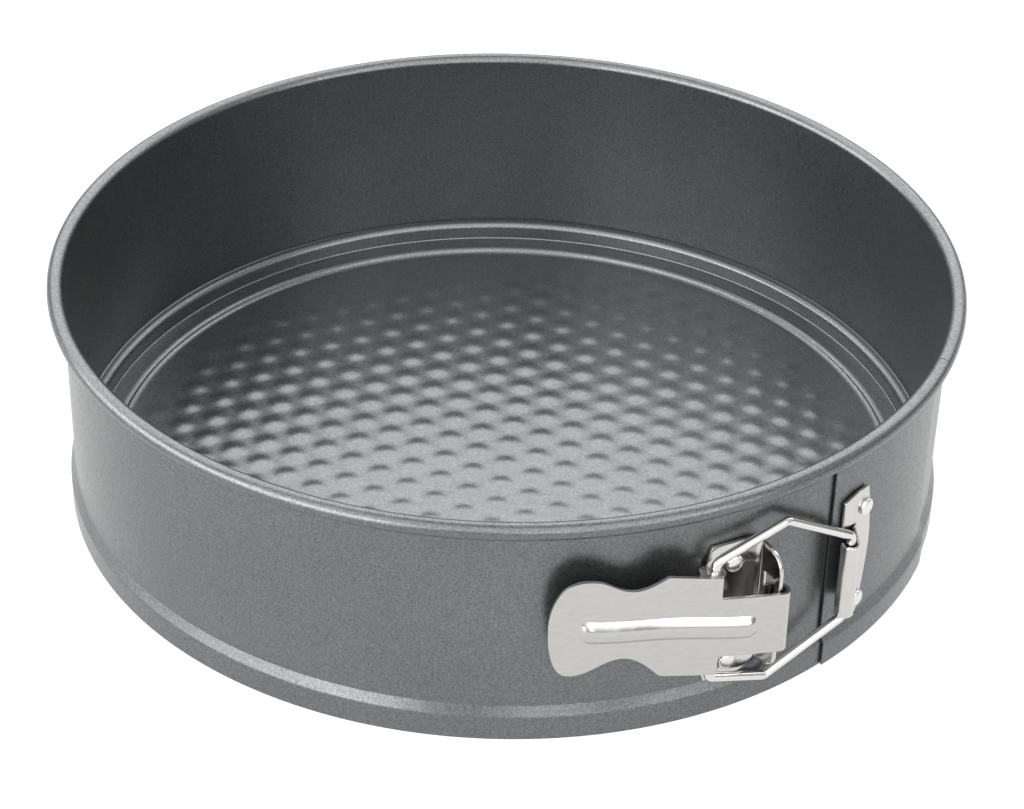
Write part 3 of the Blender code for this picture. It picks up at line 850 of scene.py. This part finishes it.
class Sky:
    """The studio round the pan: a dim room with smooth-edged light panels, by direction."""

    def __init__(self):
        world = bpy.data.worlds.new("studio")
        world.use_nodes = True
        bpy.context.scene.world = world
        self.tree = world.node_tree
        self.background = self.tree.nodes["Background"]
        self.background.inputs["Color"].default_value = (1.0, 1.0, 1.0, 1.0)
        coordinates = self.tree.nodes.new("ShaderNodeTexCoord")
        self.direction = coordinates.outputs["Generated"]
        split = self.tree.nodes.new("ShaderNodeSeparateXYZ")
        self.tree.links.new(self.direction, split.inputs["Vector"])
        self.rise = split.outputs["Z"]
        flat = self.vector("MULTIPLY", self.direction, (1.0, 1.0, 0.0))
        self.heading = self.vector("NORMALIZE", flat.outputs["Vector"]).outputs["Vector"]
        self.total = None

    def vector(self, kind, source, second=None):
        node = self.tree.nodes.new("ShaderNodeVectorMath")
        node.operation = kind
        self.tree.links.new(source, node.inputs[0])
        if second:
            node.inputs[1].default_value = second
        return node

    def math(self, kind, first, second):
        node = self.tree.nodes.new("ShaderNodeMath")
        node.operation = kind
        self.tree.links.new(first, node.inputs[0])
        if isinstance(second, float):
            node.inputs[1].default_value = second
        else:
            self.tree.links.new(second, node.inputs[1])
        return node.outputs["Value"]

    def ease(self, value, start, end, low=0.0, high=1.0):
        node = self.tree.nodes.new("ShaderNodeMapRange")
        node.interpolation_type = "SMOOTHSTEP"
        self.tree.links.new(value, node.inputs["Value"])
        limits = {"From Min": start, "From Max": end, "To Min": low, "To Max": high}
        for name, number in limits.items():
            node.inputs[name].default_value = number
        return node.outputs["Result"]

    def add(self, level):
        self.total = level if self.total is None else self.math("ADD", self.total, level)

    def panel(self, azimuth, spread, low, high, level, soft):
        """A light from one elevation to another, spread either side of an azimuth, in degrees."""
        facing = self.vector("DOT_PRODUCT", self.heading, tuple(polar(1.0, azimuth))).outputs["Value"]
        side = self.ease(facing, math.cos(math.radians(min(180.0, spread + soft))),
                         math.cos(math.radians(spread)))
        start = self.ease(self.rise, math.sin(math.radians(low - soft)), math.sin(math.radians(low)))
        stop = self.ease(self.rise, math.sin(math.radians(high)), math.sin(math.radians(high + soft)),
                         1.0, 0.0)
        self.add(self.math("MULTIPLY", self.math("MULTIPLY", side, self.math("MULTIPLY", start, stop)),
                           level))

    def finish(self):
        self.tree.links.new(self.total, self.background.inputs["Strength"])


VIEW_AZIMUTH = -133.0            # where the camera stands, in degrees from +X
VIEW_ELEVATION = 35.08
VIEW_DISTANCE = 778.0 * MM       # from the centre of the pan's base
FOCAL_SHARE = 2.66401            # focal length over the picture's width

# Light panels: turn from the camera's azimuth, spread to each side, lowest and highest
# elevation, level, and softness of the edges. All but the level are in degrees.
LIGHTS = (
    (-68.0, 46.0, 1.0, 30.0, 4.4, 4.0),      # the large low light at the camera's left
    (-10.0, 66.0, 26.0, 72.0, 1.5, 8.0),     # the high one over the camera
    (12.0, 9.0, 4.0, 26.0, 2.6, 2.0),        # two low strips in front of the latch,
    (46.0, 13.0, 4.0, 26.0, 2.6, 2.0),       # with a dark gap between them
    (180.0, 62.0, 22.0, 62.0, 2.2, 8.0),     # the light behind the pan
)
CAMERA_TURNS = (("up", -0.00279), ("right", 0.0197), ("forward", -0.0238))     # radians
ROOM_LOW, ROOM_HIGH = 0.2, 0.8   # the room's own light, at the horizon and above
TABLE_GLOW = 0.95                # painted light: the table glows, strongest round the pan, which paints out the pan's shadow there
GLOW_FAR = 0.3
GLOW_FROM, GLOW_TO = 0.38, 1.1   # metres from the pan's axis over which the glow fades
TABLE_HALF = 8.0


def make_camera():
    lens = bpy.data.cameras.new("camera")
    lens.sensor_width = 36.0
    lens.lens = FOCAL_SHARE * lens.sensor_width
    lens.clip_start = 0.01
    camera = bpy.data.objects.new("camera", lens)
    bpy.context.scene.collection.objects.link(camera)
    height = VIEW_DISTANCE * math.sin(math.radians(VIEW_ELEVATION))
    back = polar(VIEW_DISTANCE * math.cos(math.radians(VIEW_ELEVATION)), VIEW_AZIMUTH, height)
    forward = -back.normalized()
    right = forward.cross(Vector((0.0, 0.0, 1.0))).normalized()
    up = right.cross(forward)
    for axis, angle in CAMERA_TURNS:
        pole = {"up": up, "right": right, "forward": forward}[axis].copy()
        turn = Matrix.Rotation(angle, 3, pole)
        forward, right, up = turn @ forward, turn @ right, turn @ up
    camera.matrix_world = Matrix.Translation(back + Vector((0.0, 0.0, TABLE_Z))) @ Matrix(
        (right, up, -forward)).transposed().to_4x4()
    bpy.context.scene.camera = camera


def make_studio():
    scene = bpy.context.scene
    scene.view_settings.view_transform = "Standard"
    sky = Sky()
    sky.add(sky.ease(sky.rise, 0.0, 0.3, ROOM_LOW, ROOM_HIGH))
    for turn, spread, low, high, level, soft in LIGHTS:
        sky.panel(VIEW_AZIMUTH + turn, spread, low, high, level, soft)
    sky.finish()
    corners = [(x * TABLE_HALF, y * TABLE_HALF, 0.0) for x, y in ((-1, -1), (1, -1), (1, 1), (-1, 1))]
    mesh = bpy.data.meshes.new("table")
    mesh.from_pydata(corners, [], [(0, 1, 2, 3)])
    table = add_object("table", mesh)
    table.location.z = TABLE_Z - 0.02 * MM
    # Painted light: the table's own colour is dark grey, and its emission makes it white, strongest
    # within GLOW_FROM of the pan's axis so that no shadow shows, fading to GLOW_FAR by GLOW_TO.
    glowing = Nodes("glowing_table")
    glowing.link(glowing.ramp(glowing.noise(6.0), 0.14, 0.16), glowing.shader.inputs["Base Color"])
    glowing.shader.inputs["Roughness"].default_value = 0.9
    glowing.shader.inputs["Specular IOR Level"].default_value = 0.0
    glowing.shader.inputs["Emission Color"].default_value = (1.0, 1.0, 1.0, 1.0)
    distance = glowing.tree.nodes.new("ShaderNodeVectorMath")
    distance.operation = "LENGTH"
    glowing.link(glowing.place, distance.inputs[0])
    fade = glowing.tree.nodes.new("ShaderNodeMapRange")
    fade.interpolation_type = "SMOOTHSTEP"
    limits = {"From Min": GLOW_FROM, "From Max": GLOW_TO, "To Min": TABLE_GLOW, "To Max": GLOW_FAR}
    for name, number in limits.items():
        fade.inputs[name].default_value = number
    glowing.link(distance.outputs["Value"], fade.inputs["Value"])
    glowing.link(fade.outputs["Result"], glowing.shader.inputs["Emission Strength"])
    mesh.materials.append(glowing.material)


make_camera()
make_studio()
make_band()
make_floor()
make_lever()
make_bracket()
make_catch()
make_wire()
make_rivets()
